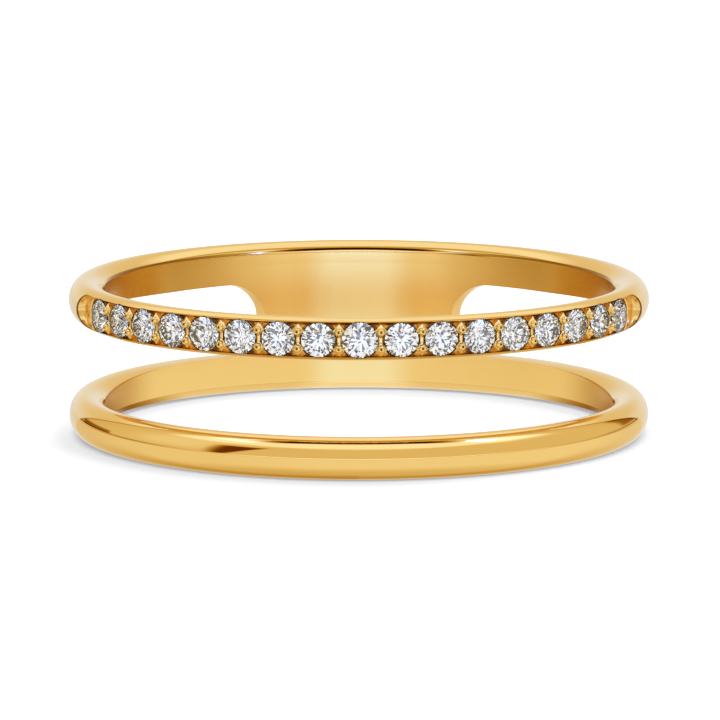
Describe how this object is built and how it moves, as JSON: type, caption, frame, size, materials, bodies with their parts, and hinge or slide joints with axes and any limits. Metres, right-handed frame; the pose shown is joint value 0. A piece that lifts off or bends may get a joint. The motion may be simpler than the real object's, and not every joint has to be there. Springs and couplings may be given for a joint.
{
  "type": "double ring",
  "caption": "Finger ring of two slim parallel gold bands joined by a wide plate at the back, the upper band set with a row of small round stones.",
  "frame": {"origin": "on the finger's axis, at the height of the lower rim that the ring rests on", "axes": "+Z along the finger's axis, up; the middle stone faces -Y and the joining plate is on the +Y side"},
  "size_m": [0.0192, 0.0192, 0.0052],
  "materials": {
    "gold": "high polish",
    "stone": "cut and polished"
  },
  "bodies": {
    "root": {"ring_body": "gold", "stone_01": "stone", "stone_02": "stone", "stone_03": "stone", "stone_04": "stone", "stone_05": "stone", "stone_06": "stone", "stone_07": "stone", "stone_08": "stone", "stone_09": "stone", "stone_10": "stone", "stone_11": "stone", "stone_12": "stone", "stone_13": "stone", "stone_14": "stone", "stone_15": "stone", "stone_16": "stone", "stone_17": "stone"}
  },
  "joints": []
}
